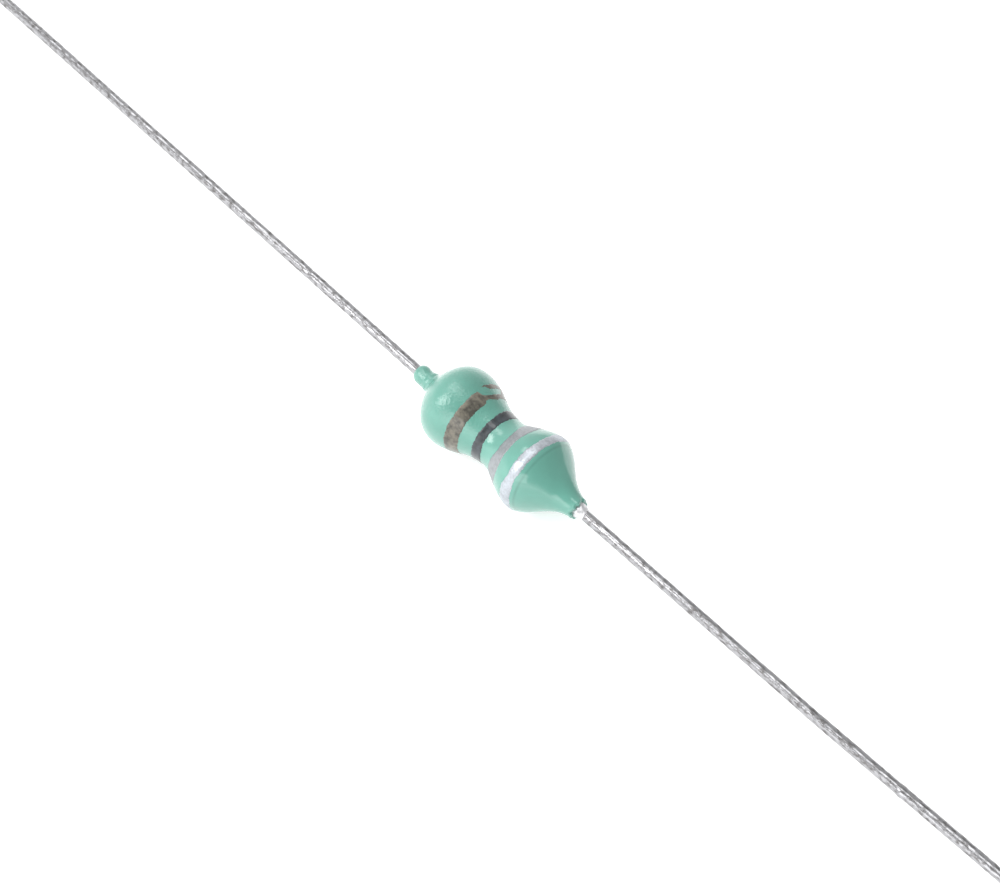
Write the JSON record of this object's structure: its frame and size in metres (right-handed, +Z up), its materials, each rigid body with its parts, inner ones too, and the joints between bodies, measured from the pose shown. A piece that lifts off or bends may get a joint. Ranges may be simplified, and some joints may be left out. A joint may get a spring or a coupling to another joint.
{
  "type": "inductor",
  "caption": "Axial-lead inductor: waisted drum core with its winding in a green epoxy coat, painted value bands and long straight tinned leads.",
  "frame": {"origin": "centre of the coated body, on its own axis, which is also the centre of the whole part's box", "axes": "+X along the body towards the silver bands and the right lead; +Z up, square to the surface that the two bulges and both lead tips lie on"},
  "size_m": [0.088, 0.0044, 0.0044],
  "materials": {
    "green_epoxy": "gloss",
    "ferrite": "matte",
    "enamelled_copper": "gloss",
    "tinned_wire": "satin",
    "solder": "satin",
    "cured_glue": "gloss",
    "brown_paint": "satin",
    "black_paint": "gloss",
    "silver_paint": "satin"
  },
  "bodies": {
    "root": {"epoxy_coating": "green_epoxy", "drum_core": "ferrite", "coil_wire": "enamelled_copper", "lead_left": "tinned_wire", "lead_right": "tinned_wire", "lead_adhesive_left": "cured_glue", "lead_adhesive_right": "cured_glue", "solder_left": "solder", "solder_right": "solder", "band_brown": "brown_paint", "band_black": "black_paint", "band_silver_narrow": "silver_paint", "band_silver_wide": "silver_paint"}
  },
  "joints": []
}
